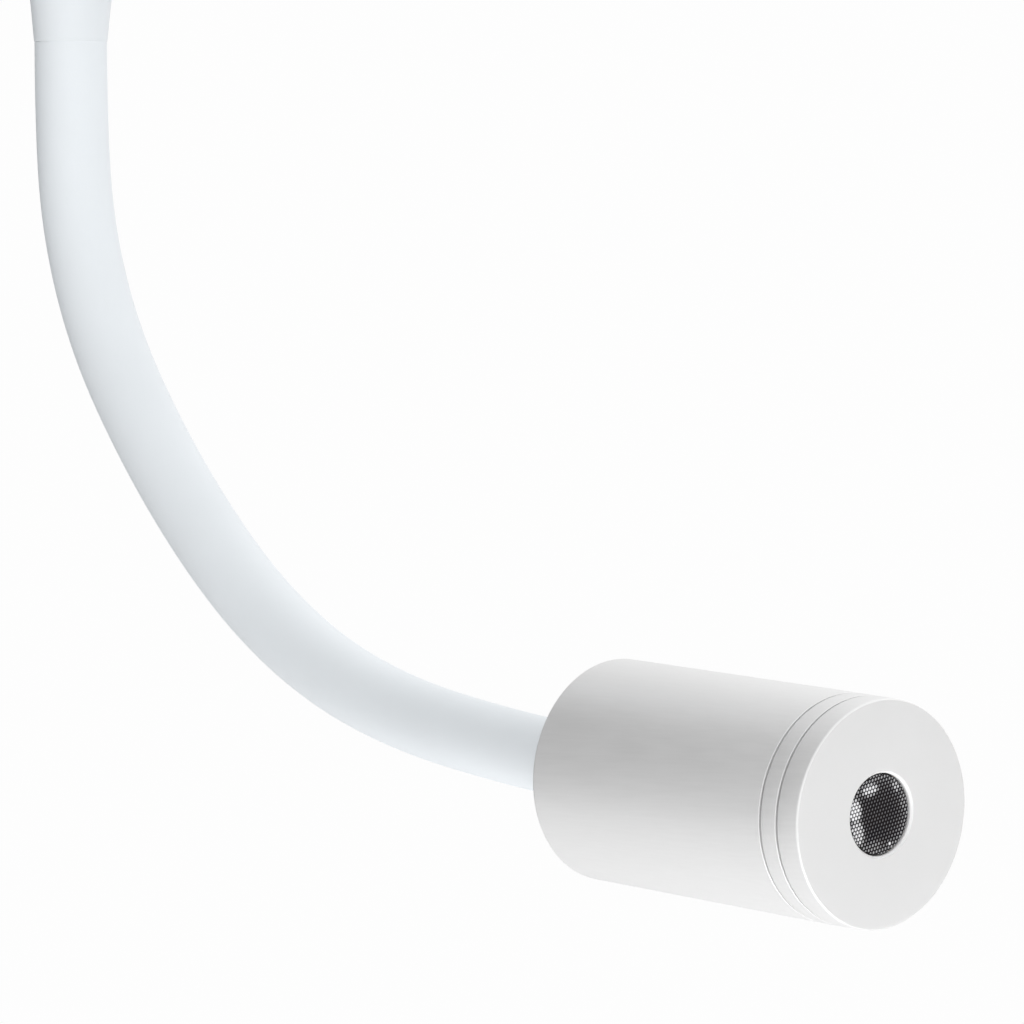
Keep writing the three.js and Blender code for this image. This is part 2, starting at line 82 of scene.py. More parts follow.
JOINTS = {joint["name"]: joint for joint in frame["joints"]}
BODY_OF = {node: body for body, nodes in frame["record"]["behaviour"]["bodies"].items() for node in nodes}
NECK_JOINTS = [f"neck_{kind}_{number}" for number in range(1, 6) for kind in ("bend", "sway")]
PIVOTS = [Vector(JOINTS[name]["pos_m"]) for name in NECK_JOINTS]
LINK_PITCH = (PIVOTS[1] - PIVOTS[0]).length
COLLAR_LIP = PIVOTS[0] + Vector((0, 0, LINK_PITCH / 2))
RING_DEPTH = 74.4 * MM            # the dimmer joint's place, forward of the head's rear face
HEAD_AXIS = Vector(JOINTS["dimmer_turn"]["axis"]).normalized()
HEAD_REAR = Vector(JOINTS["dimmer_turn"]["pos_m"]) - RING_DEPTH * HEAD_AXIS
SWIVEL_FOOT = Vector(JOINTS["neck_swivel"]["pos_m"])
ROCKER_PIVOT = Vector(JOINTS["rocker_press"]["pos_m"])
ROCKER_TILT = math.radians(JOINTS["rocker_press"]["range_deg"][1] / 2)

# ---------------------------------------------------------------- sizes, in millimetres

NECK_RADIUS = 8.25
SHEATH_BORE = 6.3
CORE_RADIUS = 6.0
CORE_BORE = 2.5
COLLAR_END = 32.97                # below the housing's underside
FERRULE_LENGTH = 6.6
HEAD_RADIUS = 25.0
HEAD_REAR_RADIUS = 24.3
HEAD_LENGTH = 84.0
HEAD_BORE = 22.5
SPIGOT_RADIUS = 21.5
BODY_END = 72.1
RING_SPAN = (72.7, 77.2)
CAP_START = 77.8
CAP_EDGE = 0.6                    # rounding between the cap's side and its face
EDGE_CHAMFER = 0.1                # on both sides of the two grooves
HEAD_SEGMENTS = 192
APERTURE_RADIUS = 9.0
APERTURE_BEVEL = (0.48, 0.55)     # outwards and inwards of the aperture's edge
LENS_RADIUS = APERTURE_RADIUS - 0.3
LENS_FACE = 83.2                  # where the small lenses stand, forward of the rear face
LENSLET_PITCH = 0.90
LENSLET_ROW = LENSLET_PITCH * math.sqrt(3) / 2
LENSLET_BULGE = 0.09
LENSLET_ROLL = math.radians(13.3)
LENSLET_STEPS = 8                 # mesh steps across one small lens
FAINT_PAINTED_HIGHLIGHT = 0.15                 # the painted highlight in a small lens in the middle, 1 being full
# slant of the painted highlight in each small lens
PAINTED_HIGHLIGHT_SLANT = (0.5, 0.866)
PAINTED_REFLECTION_PATCHES = [                # painted reflections in the outer lenses: middle x and y, reach across and up, light
    (-6.9, 2.4, 2.7, 3.8, 1.0), (-6.8, -2.6, 2.7, 4.4, 0.85), (-1.9, 5.9, 3.4, 1.8, 0.9),
    (-2.9, -6.5, 4.5, 1.8, 0.42), (2.4, -7.2, 1.0, 0.9, 0.9), (5.75, 5.05, 1.5, 2.0, 0.7),
    (0.5, 7.8, 4.0, 1.2, 0.45), (7.4, 1.0, 1.6, 3.4, 0.45),
]
LENS_BACK = [                     # radius and distance forward, from the face's rim to the pocket
    (LENS_RADIUS, 80.4), (10.4, 80.4), (10.4, 79.2), (9.4, 79.2), (8.6, 77), (6.6, 73),
    (4.6, 70.4), (3, 70.4), (2.6, 74.8), (0, 75.1),
]
HOUSING_WIDTH = 78.0
HOUSING_HEIGHT = 120.0
HOUSING_DEPTH = 50.0
HOUSING_CORNER = 20.0
HOUSING_EDGE = 7.0
HOUSING_WALL = 2.6
STEM_HOLE = 8.3                   # radius
COVER_SCREW_Y = -9.0
SCREW_RADIUS = 1.5
SCREW_HOLE = 1.8                  # radius
THREAD_PITCH = 0.7
THREAD_DEPTH = 0.25
SWITCH_Z = 30.0
BEZEL = (16.0, 25.0)
WINDOW = (10.2, 18.8)
SWITCH_WELL_Y = -42.2             # the floor of the well that the rocker moves in
ROCKER_WIDTH = 9.6
ROCKER_HALF = 8.0
ROCKER_FACE = 4.6                 # height of the valley above the pivot
CABLE_BORE = 3.6
CABLE_HOLE = 7.0
CABLE_ENTRY_Z = 36.0


# ---------------------------------------------------------------- node helpers

class Nodes:
    """A material's node tree with short calls for the nodes used here."""

    def __init__(self, name):
        self.material = bpy.data.materials.new(name)
        self.material.use_nodes = True
        self.tree = self.material.node_tree
        self.shader = self.tree.nodes["Principled BSDF"]
        position = self.tree.nodes.new("ShaderNodeTexCoord")
        self.position = position.outputs["Object"]

    def link(self, source, target):
        self.tree.links.new(source, target)

    def noise(self, scale, detail=2.0, roughness=0.5, stretch=None):
        node = self.tree.nodes.new("ShaderNodeTexNoise")
        node.inputs["Scale"].default_value = scale
        node.inputs["Detail"].default_value = detail
        node.inputs["Roughness"].default_value = roughness
        source = self.position
        if stretch:
            mapping = self.tree.nodes.new("ShaderNodeMapping")
            mapping.inputs["Scale"].default_value = stretch
            self.link(self.position, mapping.inputs["Vector"])
            source = mapping.outputs["Vector"]
        self.link(source, node.inputs["Vector"])
        return node.outputs["Fac"]

    def spread(self, factor, low, high, start=0.3, stop=0.7):
        """A number that runs from low to high as factor runs from start to stop."""
        node = self.tree.nodes.new("ShaderNodeMapRange")
        node.inputs["From Min"].default_value = start
        node.inputs["From Max"].default_value = stop
        node.inputs["To Min"].default_value = low
        node.inputs["To Max"].default_value = high
        self.link(factor, node.inputs["Value"])
        return node.outputs["Result"]

    def colours(self, factor, *stops):
        """A colour ramp from (place, colour) stops."""
        node = self.tree.nodes.new("ShaderNodeValToRGB")
        ramp = node.color_ramp
        while len(ramp.elements) < len(stops):
            ramp.elements.new(0.5)
        for element, (place, colour) in zip(ramp.elements, stops):
            element.position = place
            element.color = (*colour, 1)
        self.link(factor, node.inputs["Fac"])
        return node.outputs["Color"]

    def bump(self, *layers):
        """Stacks bumps; each layer is (height, strength, distance in mm)."""
        normal = None
        for height, strength, distance in layers:
            node = self.tree.nodes.new("ShaderNodeBump")
            node.inputs["Strength"].default_value = strength
            node.inputs["Distance"].default_value = distance * MM
            self.link(height, node.inputs["Height"])
            if normal:
                self.link(normal, node.inputs["Normal"])
            normal = node.outputs["Normal"]
        self.link(normal, self.shader.inputs["Normal"])

    def set(self, **values):
        for name, value in values.items():
            self.shader.inputs[name.replace("_", " ")].default_value = value


def tinted(colour, factor):
    return tuple(channel * factor for channel in colour)


def moulded(name, colour, roughness, grain=0.35, mottle=0.03, softness=0.0):
    """Moulded plastic: slight mottling, uneven gloss and a fine spark-eroded grain."""
    nodes = Nodes(name)
    cloud = nodes.noise(45, 4)
    shade = nodes.colours(cloud, (0.25, tinted(colour, 1 - mottle)), (0.75, colour))
    nodes.link(shade, nodes.shader.inputs["Base Color"])
    patchy = nodes.noise(120, 3)
    nodes.link(nodes.spread(patchy, roughness - 0.05, roughness + 0.05), nodes.shader.inputs["Roughness"])
    nodes.bump((nodes.noise(1800, 2), grain, 0.02), (cloud, 0.2, 0.05))
    if softness:
        nodes.set(Subsurface_Weight=softness, Subsurface_Radius=(1, 0.95, 0.9), Subsurface_Scale=2 * MM)
    return nodes.material


def metal(name, colour, roughness, brush=(1, 1, 1), grain=0.15, metallic=1.0, scale=260, streak=0.06):
    """Bare or coated metal with a fine directional grain."""
    nodes = Nodes(name)
    streaks = nodes.noise(scale, 3, 0.6, brush)
    shade = nodes.colours(streaks, (0.3, tinted(colour, 1 - streak)), (0.7, colour))
    nodes.link(shade, nodes.shader.inputs["Base Color"])
    nodes.link(nodes.spread(streaks, roughness - 0.05, roughness + 0.06), nodes.shader.inputs["Roughness"])
    nodes.bump((streaks, grain, 0.01), (nodes.noise(30, 2), 0.05, 0.05))
    nodes.set(Metallic=metallic)
    return nodes.material


def lens_acrylic():
    """Glossy lenses, painted near-black as the shade of the unlit lamp behind them, each with a painted
    highlight standing in for the reflection of the bright bowl.
    """
    nodes = Nodes("lens_acrylic")
    # near-black base: painted shade for the dark inside seen through the clear lens
    painted_shade_base = nodes.colours(nodes.noise(300, 2), (0.3, (0.004, 0.004, 0.006)), (0.7, (0.010, 0.008, 0.008)))
    painted_highlights = nodes.tree.nodes.new("ShaderNodeAttribute")
    painted_highlights.attribute_name = "painted_highlight"
    painted_highlight_mix = nodes.tree.nodes.new("ShaderNodeMix")
    painted_highlight_mix.data_type = "RGBA"
    nodes.link(painted_highlights.outputs["Fac"], painted_highlight_mix.inputs["Factor"])
    nodes.link(painted_shade_base, painted_highlight_mix.inputs["A"])
    # colour of the painted highlights and painted reflections
    painted_highlight_mix.inputs["B"].default_value = (0.86, 0.86, 0.88, 1)
    nodes.link(painted_highlight_mix.outputs["Result"], nodes.shader.inputs["Base Color"])
    nodes.link(nodes.spread(nodes.noise(200, 2), 0.08, 0.16), nodes.shader.inputs["Roughness"])
    nodes.set(Specular_IOR_Level=0.1)
    return nodes.material


HEAD_GRAIN = (1, 0.05, 1)         # drawn out along Y, as the head was turned and brushed
MATERIALS = {
    "sheath": moulded("sheath_vinyl", (0.81, 0.848, 0.878), 0.5, 0.5, 0.03),
    "collar": moulded("collar_plastic", (0.79, 0.826, 0.855), 0.4, 0.2, 0.02, 0.1),
    "head": metal("satin_head", (0.83, 0.83, 0.83), 0.40, HEAD_GRAIN, 0.15, 0.35, 1500, 0.03),
    "cap": moulded("cap_plastic", (0.685, 0.685, 0.685), 0.45, 0.25, 0.02, 0.15),
    # the aperture's bevel: the cap's plastic painted lighter, a painted highlight
    "rim": moulded("aperture_rim_painted_highlight", (0.87, 0.87, 0.87), 0.35, 0.1, 0.02, 0.15),
    "housing": moulded("housing_plastic", (0.72, 0.735, 0.75), 0.42, 0.5, 0.02, 0.05),
    "black": moulded("black_plastic", (0.022, 0.023, 0.025), 0.42, 0.5, 0.2),
    "rubber": moulded("grommet_rubber", (0.03, 0.03, 0.032), 0.75, 0.8, 0.25),
    "board": moulded("circuit_board", (0.02, 0.16, 0.07), 0.35, 0.3, 0.3),
    "steel": metal("bright_steel", (0.58, 0.58, 0.59), 0.3, (1, 1, 6)),
    "raw": metal("raw_aluminium", (0.68, 0.69, 0.70), 0.4, (1, 1, 5)),
    "zinc": metal("zinc_plate", (0.60, 0.61, 0.62), 0.42, (1, 1, 4)),
    "white_board": moulded("solder_resist", (0.75, 0.75, 0.72), 0.35, 0.2, 0.04),
    "tape": moulded("winding_tape", (0.55, 0.33, 0.05), 0.4, 0.4, 0.2),
    "phosphor": moulded("phosphor_gel", (0.80, 0.55, 0.08), 0.3, 0.2, 0.1, 0.2),
    "mark": moulded("printed_mark", (0.75, 0.75, 0.75), 0.5, 0.3, 0.05),
    "lead": moulded("lead_insulation", (0.70, 0.70, 0.70), 0.5, 0.3, 0.05),
    "lens": lens_acrylic(),
}

# ---------------------------------------------------------------- mesh helpers


def add_mesh(name, vertices, faces, material, crease=35.0):
    mesh = bpy.data.meshes.new(name)
    mesh.from_pydata([tuple(v) for v in vertices], [], faces)
    mesh.validate()
    mesh.materials.append(MATERIALS[material])
    mesh.shade_smooth()
    mesh.set_sharp_from_angle(angle=math.radians(crease))
    piece = bpy.data.objects.new(name, mesh)
    bpy.context.scene.collection.objects.link(piece)
    return piece


def settle(piece, *nodes):
    """The piece stands for CAD nodes: it rides on their body and the nodes are hidden."""
    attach(piece, BODY_OF[nodes[0]])
    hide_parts(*nodes)
    return piece


def rounded(profile, closed, steps=4):
    """Profile points (a, b, fillet) with each corner turned into an arc of about that radius."""
    points = []
    count = len(profile)
    for index, point in enumerate(profile):
        here = Vector(point[:2])
        fillet = point[2] if len(point) > 2 else 0
        if not fillet or (not closed and index in (0, count - 1)):
            points.append(here)
            continue
        before = Vector(profile[index - 1][:2]) - here
        after = Vector(profile[(index + 1) % count][:2]) - here
        half = before.angle(after) / 2
        reach = min(fillet / math.tan(half), 0.48 * before.length, 0.48 * after.length)
        start = here + before.normalized() * reach
        stop = here + after.normalized() * reach
        for step in range(steps + 1):
            t = step / steps
            points.append(start * (1 - t) ** 2 + here * 2 * t * (1 - t) + stop * t ** 2)
    return points


def skin(name, rings, place, material, closed, crease=35.0):
    """Joins equal rings of points into one surface; a closed one joins its last ring to its first,
    an open one is capped at both ends. Points are in millimetres."""
    count = len(rings[0])
    vertices = [place @ (Vector(point) * MM) for ring in rings for point in ring]
    pairs = [(row, (row + 1) % len(rings)) for row in range(len(rings) - (0 if closed else 1))]
    faces = []
    for low, high in pairs:
        for step in range(count):
            after = (step + 1) % count
            faces.append([low * count + step, low * count + after, high * count + after, high * count + step])
    if not closed:
        last = (len(rings) - 1) * count
        faces.append(list(range(count))[::-1])
        faces.append(list(range(last, last + count)))
    return add_mesh(name, vertices, faces, material, crease)


def lathe(name, profile, place, material, segments=96, closed=True):
    """A solid turned about its own Z from (radius, z, fillet) points; an open profile is capped."""
    rings = []
    for radius, z in rounded(profile, closed):
        angles = [2 * math.pi * step / segments for step in range(segments)]
        rings.append([(radius * math.cos(angle), radius * math.sin(angle), z) for angle in angles])
    return skin(name, rings, place, material, closed)


def rectangle(half_x, half_y, z):
    return [(-half_x, -half_y, z), (half_x, -half_y, z), (half_x, half_y, z), (-half_x, half_y, z)]


def outline(width, height, corner, steps=12):
    """A rounded rectangle in X and Z, as (x, z) points."""
    points = []
    for quarter, (side_x, side_z) in enumerate(((1, 1), (-1, 1), (-1, -1), (1, -1))):
        for step in range(steps + 1):
            angle = (quarter + step / steps) * math.pi / 2
            x = side_x * (width / 2 - corner) + corner * math.cos(angle)
            z = side_z * (height / 2 - corner) + corner * math.sin(angle)
            points.append((x, z))
    return points


def slab_rings(sections, middle_z=0.0, steps=12):
    """Rings of rounded rectangles from (width, height, corner, y) sections."""
    return [[(x, y, z + middle_z) for x, z in outline(width, height, corner, steps)]
            for width, height, corner, y in sections]


def evaluated(piece):
    """Applies the piece's modifiers to its mesh, with flat faces kept flat in their shading."""
    normals = piece.modifiers.new("normals", "WEIGHTED_NORMAL")
    normals.keep_sharp = True
    graph = bpy.context.evaluated_depsgraph_get()
    mesh = bpy.data.meshes.new_from_object(piece.evaluated_get(graph))
    piece.modifiers.clear()
    piece.data = mesh
    return mesh


def carve(piece, *cutters):
    """Cuts the cutters out of the piece and removes them."""
    for cutter in cutters:
        modifier = piece.modifiers.new("cut", "BOOLEAN")
        modifier.operation = "DIFFERENCE"
        modifier.solver = "EXACT"
        modifier.object = cutter
    evaluated(piece)
    for cutter in cutters:
        bpy.data.objects.remove(cutter)
    return piece


def refined(node, name, material, width):
    """A hidden CAD piece with its edges broken by a small bevel."""
    source = bmesh.new()
    source.from_mesh(frame["nodes"][node].data)
    bmesh.ops.remove_doubles(source, verts=source.verts, dist=1e-6)
    bmesh.ops.dissolve_limit(source, angle_limit=math.radians(1), verts=source.verts, edges=source.edges)
    mesh = bpy.data.meshes.new(name)
    source.to_mesh(mesh)
    source.free()
    mesh.materials.clear()
    mesh.materials.append(MATERIALS[material])
    mesh.shade_smooth()
    piece = bpy.data.objects.new(name, mesh)
    bpy.context.scene.collection.objects.link(piece)
    bevel = piece.modifiers.new("edges", "BEVEL")
    bevel.width = width * MM
    bevel.segments = 2
    bevel.limit_method = "ANGLE"
    bevel.angle_limit = math.radians(40)
    evaluated(piece)
    return settle(piece, node)


def head_place():
    """Local Z runs along the head's axis from its rear face, local X stays level."""
    across = Vector((1, 0, 0))
    turn = Matrix((across, HEAD_AXIS.cross(across), HEAD_AXIS)).transposed().to_4x4()
    return Matrix.Translation(HEAD_REAR) @ turn


def swivel_place():
    """Local Z runs down from the housing's underside."""
    return Matrix.Translation(SWIVEL_FOOT) @ Matrix.Rotation(math.pi, 4, "X")


LAMP_PLACE = Matrix.Identity(4)

# ---------------------------------------------------------------- flexible neck


def neck_centreline(rings_per_link):
    """Points along the neck's middle, rings_per_link to each joint, from the lip to the head."""
    middles = [COLLAR_LIP]
    middles += [(a + b) / 2 for a, b in zip(PIVOTS, PIVOTS[1:])]
    middles.append(HEAD_REAR)
    points = []
    for start, pivot, stop in zip(middles, PIVOTS, middles[1:]):
        for step in range(rings_per_link):
            t = step / rings_per_link
            points.append(start * (1 - t) ** 2 + pivot * 2 * t * (1 - t) + stop * t ** 2)
    points.append(HEAD_REAR)
    for _ in range(round(0.06 * rings_per_link ** 2)):
        eased = [(a + 2 * b + c) / 4 for a, b, c in zip(points, points[1:], points[2:])]
        points = [points[0], *eased, points[-1]]
    return points


def tube_ring(centres, index, radius, segments):
    across = Vector((1, 0, 0))
    before = centres[max(index - 1, 0)]
    after = centres[min(index + 1, len(centres) - 1)]
    outward = (after - before).normalized().cross(across)
    ring = []
    for step in range(segments):
        angle = 2 * math.pi * step / segments
        ring.append(centres[index] / MM + radius * (across * math.cos(angle) + outward * math.sin(angle)))
    return ring


def neck_tubes(prefix, rings_per_link, segments, outer, bore, material, node_prefix, end_cut=0.0):
    """One tube for each joint, from mid-link to mid-link, which bends across that joint.
    outer gives the outside radius of a ring by its index."""
    centres = neck_centreline(rings_per_link)
    cut = round(end_cut * MM / (LINK_PITCH / rings_per_link))
    for number in range(1, len(PIVOTS) + 1):
        first = (number - 1) * rings_per_link
        last = first + rings_per_link
        if number == len(PIVOTS):
            last -= cut
        rings = [tube_ring(centres, index, outer(index), segments) for index in range(first, last + 1)]
        rings += [tube_ring(centres, index, bore, segments) for index in range(last, first - 1, -1)]
        piece = skin(f"{prefix}_{number:02d}", rings, LAMP_PLACE, material, True, 50)
        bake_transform(piece)
        nodes = [f"{node_prefix}_{number:02d}"]
        if number == 1:
            nodes.insert(0, f"{node_prefix}_00")
        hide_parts(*nodes)


SHEATH_RINGS = 26                 # along each stretch of the sheath
COIL_RINGS = 64                   # along each stretch of the core
RINGS_PER_TURN = 4
COIL_DEPTH = 0.45                 # of the valleys between the wire's turns


def coil_radius(index):
    turn = 2 * math.pi * index / RINGS_PER_TURN
    return CORE_RADIUS - COIL_DEPTH * (0.5 - 0.5 * math.cos(turn))


def coil_stub(name, body, place, low, high):
    """The core's straight ends, with the same wire ridges."""
    pitch = LINK_PITCH / MM / COIL_RINGS
    count = round((high - low) / pitch)
    profile = [(coil_radius(step), low + step * pitch) for step in range(count + 1)]
    profile += [(CORE_BORE, profile[-1][1]), (CORE_BORE, low)]
    piece = lathe(name, profile, place, "steel", 32)
    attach(piece, body)


neck_tubes("neck_sheath", SHEATH_RINGS, 72, lambda index: NECK_RADIUS, SHEATH_BORE, "sheath", "sheath_link",
           FERRULE_LENGTH)
neck_tubes("neck_core", COIL_RINGS, 28, coil_radius, CORE_BORE, "steel", "core_link")
coil_stub("neck_core_start", "swivel", swivel_place(), 18.6, COLLAR_END - 0.02)
coil_stub("neck_core_end", "head", head_place(), 0.1, 6)

# ---------------------------------------------------------------- swivel and collar


def collar():
    profile = [
        (6.3, 1.6), (11.7, 1.6, 0.5), (12.1, 2.3, 0.6), (11.9, 5, 3), (10.3, 15, 8), (9.1, 25, 8),
        (8.42, 32.2, 1), (8.28, COLLAR_END, 0.04), (7.3, COLLAR_END), (7.3, 18.3), (6.3, 18.3),
    ]
    settle(lathe("collar_moulding", profile, swivel_place(), "collar", 128), "neck_collar")


def swivel_bush():
    profile = [(6.3, -3.6), (8, -3.6, 0.3), (8, 0.3), (11.5, 0.3, 0.1), (11.5, 1.3, 0.4), (6.3, 1.3)]
    settle(lathe("swivel_bush_moulding", profile, swivel_place(), "black", 96), "swivel_bush")


collar()
swivel_bush()
refined("stem_nut", "stem_hex_nut", "steel", 0.3)
refined("swivel_stem", "hollow_stem", "steel", 0.3)
refined("friction_washer", "wave_washer", "steel", 0.1)
refined("neck_upper_ferrule", "upper_crimp_sleeve", "raw", 0.1)

# ---------------------------------------------------------------- light head


def head_body():
    profile = [
        (HEAD_BORE, 0, 0.2), (HEAD_REAR_RADIUS, 0, 0.7), (HEAD_RADIUS, BODY_END - EDGE_CHAMFER, 0.1),
        (HEAD_RADIUS - EDGE_CHAMFER, BODY_END, 0.1), (SPIGOT_RADIUS, BODY_END), (SPIGOT_RADIUS, 80, 0.2),
        (20, 80, 0.2), (20, 56), (HEAD_BORE, 56),
    ]
    settle(lathe("head_shell", profile, head_place(), "head", HEAD_SEGMENTS), "head_body")


def rear_cap():
    profile = [
        (7.8, 0.3, 0.2), (10.5, 0.3, 0.15), (10.8, 0.7, 0.1), (11.4, 0.7, 0.1), (11.7, 0.3, 0.15),
        (22.2, 0.3, 0.5), (22.2, 4), (11.8, 4), (11.8, 7), (7.8, 7),
    ]
    settle(lathe("head_rear_disc", profile, head_place(), "head", HEAD_SEGMENTS), "head_rear_cap")


def lower_ferrule():
    start = -FERRULE_LENGTH
    profile = [
        (6.3, start), (NECK_RADIUS - 0.15, start, 0.1), (NECK_RADIUS + 0.1, start + 0.35, 0.2),
        (NECK_RADIUS + 0.1, -0.3, 0.3), (7.5, -0.3), (7.5, 13, 0.3), (6.3, 13),
    ]
    settle(lathe("neck_entry_sleeve", profile, head_place(), "collar", 96), "neck_lower_ferrule")


def dimmer_ring():
    low, high = RING_SPAN
    bore = SPIGOT_RADIUS + 0.3
    profile = [
        (bore, low), (HEAD_RADIUS - EDGE_CHAMFER, low, 0.1), (HEAD_RADIUS, low + EDGE_CHAMFER, 0.1),
        (HEAD_RADIUS, high - EDGE_CHAMFER, 0.1), (HEAD_RADIUS - EDGE_CHAMFER, high, 0.1), (bore, high),
    ]
    settle(lathe("dimmer_ring_band", profile, head_place(), "head", HEAD_SEGMENTS), "dimmer_ring")


def front_cap():
    """Its side has the head's finish, its face is matt and the aperture's bevel is painted lighter as a
    painted highlight.
    """
    skirt = SPIGOT_RADIUS + 0.3
    bevel_out, bevel_in = APERTURE_BEVEL
    profile = [
        (skirt, CAP_START), (HEAD_RADIUS - EDGE_CHAMFER, CAP_START, 0.1),
        (HEAD_RADIUS, CAP_START + EDGE_CHAMFER, 0.1), (HEAD_RADIUS, HEAD_LENGTH, CAP_EDGE),
        (APERTURE_RADIUS + bevel_out, HEAD_LENGTH, 0.12), (APERTURE_RADIUS, HEAD_LENGTH - bevel_in, 0.1),
        (APERTURE_RADIUS, 81), (skirt, 81),
    ]
    piece = lathe("front_cap_moulding", profile, head_place(), "cap", HEAD_SEGMENTS)
    piece.data.materials.append(MATERIALS["head"])
    piece.data.materials.append(MATERIALS["rim"])
    for face in piece.data.polygons:
        outwards = face.center - HEAD_REAR
        outwards -= outwards.dot(HEAD_AXIS) * HEAD_AXIS
        if outwards.length > (HEAD_RADIUS - 0.25) * MM:
            face.material_index = 1
        # faces at the aperture's bevel take the painted highlight
        elif outwards.length < (APERTURE_RADIUS + 0.4) * MM:
            face.material_index = 2
    settle(piece, "front_cap")


def nearest_lenslet(x, y):
    """The middle of the small lens a point of the face belongs to, on a hexagonal pattern."""
    row = round(y / LENSLET_ROW)
    middles = []
    for candidate in (row - 1, row, row + 1):
        shift = 0.5 * LENSLET_PITCH * (candidate % 2)
        column = round((x - shift) / LENSLET_PITCH)
        middles.append((shift + column * LENSLET_PITCH, candidate * LENSLET_ROW))
    return min(middles, key=lambda middle: math.dist(middle, (x, y)))


def lenslet_height(x, y):
    away = math.dist(nearest_lenslet(x, y), (x, y)) / (LENSLET_PITCH / 2)
    return -LENSLET_BULGE * away ** 2


def lenslet_painted_highlight(x, y):
    """How much painted reflection of the bright bowl a point gets: a slanted painted highlight in each lens,
    larger near the rim.
    """
    middle = nearest_lenslet(x, y)
    light = FAINT_PAINTED_HIGHLIGHT * (1 + (math.hypot(*middle) / 7) ** 4)
    # lenses inside a patch get a stronger painted reflection
    for patch_x, patch_y, reach_x, reach_y, strength in PAINTED_REFLECTION_PATCHES:
        apart = math.hypot((middle[0] - patch_x) / reach_x, (middle[1] - patch_y) / reach_y)
        light = max(light, strength * min(1, 2 * (1 - apart)))
    size = LENSLET_PITCH * (0.18 + 0.3 * light)
    along = (x - middle[0]) * PAINTED_HIGHLIGHT_SLANT[0] + (y - middle[1]) * PAINTED_HIGHLIGHT_SLANT[1]
    across = (x - middle[0]) * PAINTED_HIGHLIGHT_SLANT[1] - (y - middle[1]) * PAINTED_HIGHLIGHT_SLANT[0]
    away = math.hypot(along * (0.65 + 0.35 * light), across) / size
    return light * min(1, max(0, 2.4 * (1 - away)))


def lens_face(body, painted_highlights):
    """A round field of small lenses; each point's painted-highlight value says how light it is painted."""
    step_x, step_y = LENSLET_PITCH / LENSLET_STEPS, LENSLET_ROW / LENSLET_STEPS
    roll = Matrix.Rotation(LENSLET_ROLL, 3, "Z")
    reach = int(LENS_RADIUS / step_y) + 2
    grid = {}
    for j in range(-reach, reach + 1):
        for i in range(-reach, reach + 1):
            x, y = i * step_x, j * step_y
            if math.hypot(x, y) < LENS_RADIUS - 0.1:
                grid[i, j] = body.verts.new(roll @ Vector((x, y, LENS_FACE + lenslet_height(x, y))))
                # each point stores how much painted highlight it shows
                grid[i, j][painted_highlights] = lenslet_painted_highlight(x, y)
    for (i, j), corner in list(grid.items()):
        others = [grid.get((i + 1, j)), grid.get((i + 1, j + 1)), grid.get((i, j + 1))]
        if all(others):
            body.faces.new([corner, *others])


def lens_band(body, painted_highlights, radius, z):
    """Extends the open edge to a circle; a radius of nearly nothing closes up to the middle."""
    edges = [edge for edge in body.edges if edge.is_boundary]
    made = bmesh.ops.extrude_edge_only(body, edges=edges)["geom"]
    for vertex in [item for item in made if isinstance(item, bmesh.types.BMVert)]:
        length = max(math.hypot(vertex.co.x, vertex.co.y), 1e-6)
        scale = max(radius, 0.02) / length
        vertex.co = (vertex.co.x * scale, vertex.co.y * scale, z)
        vertex[painted_highlights] = 0


def lens():
    """A collimator: its face is a field of small lenses, its back a bowl with a pocket."""
    body = bmesh.new()
    # per-point painted highlights, read by the lens material
    painted_highlights = body.verts.layers.float.new("painted_highlight")
    lens_face(body, painted_highlights)
    for radius, z in [(LENS_RADIUS, LENS_FACE - 0.25), *LENS_BACK]:
        lens_band(body, painted_highlights, radius, z)
    bmesh.ops.holes_fill(body, edges=[edge for edge in body.edges if edge.is_boundary])
    bmesh.ops.recalc_face_normals(body, faces=body.faces)
    mesh = bpy.data.meshes.new("lens_collimator")
    body.to_mesh(mesh)
    body.free()
    mesh.transform(head_place() @ Matrix.Scale(MM, 4))
    mesh.materials.append(MATERIALS["lens"])
    mesh.shade_smooth()
    mesh.set_sharp_from_angle(angle=math.radians(30))
    piece = bpy.data.objects.new("lens_collimator", mesh)
    bpy.context.scene.collection.objects.link(piece)
    settle(piece, "lens")


head_body()
rear_cap()
lower_ferrule()
dimmer_ring()
front_cap()
lens()
refined("ferrule_nut", "ferrule_hex_nut", "steel", 0.3)
refined("heat_sink", "finned_heat_sink", "raw", 0.15)
refined("led_board", "lamp_board", "white_board", 0.08)
refined("lens_holder", "lens_carrier", "black", 0.1)

# ---------------------------------------------------------------- housing on the wall


def box_cutter(width, height, corner, y_low, y_high, middle_z):
    rings = slab_rings([(width, height, corner, y_high), (width, height, corner, y_low)], middle_z, 3)
    return skin("cutter", rings, LAMP_PLACE, "black", False)


def rod_cutter(radius, place, low, high):
    return lathe("cutter", [(radius, low), (radius, high)], place, "black", 48, False)


def along_x(y, z=0.0):
    """Local Z runs along +X from the middle plane, at a height and distance in millimetres."""
    return Matrix.Translation(Vector((0, y, z)) * MM) @ Matrix.Rotation(math.pi / 2, 4, "Y")


def shell_sections(inset, edge, front, back):
    """Sections from the back edge, round the front edge and in towards the middle of the front."""
    width, height, corner = HOUSING_WIDTH - 2 * inset, HOUSING_HEIGHT - 2 * inset, HOUSING_CORNER - inset
    sections = [(width, height, corner, back), (width, height, corner, (back + front + edge) / 2)]
    steps = 10
    for step in range(steps + 1):
        angle = math.pi / 2 * step / steps
        shrink = edge * (1 - math.cos(angle))
        depth = front + edge - edge * math.sin(angle)
        sections.append((width - 2 * shrink, height - 2 * shrink, corner - shrink, depth))
    for shrink in (edge + 3, edge + 7, edge + 12):
        sections.append((width - 2 * shrink, height - 2 * shrink, max(corner - shrink, 1.0), front))
    return sections


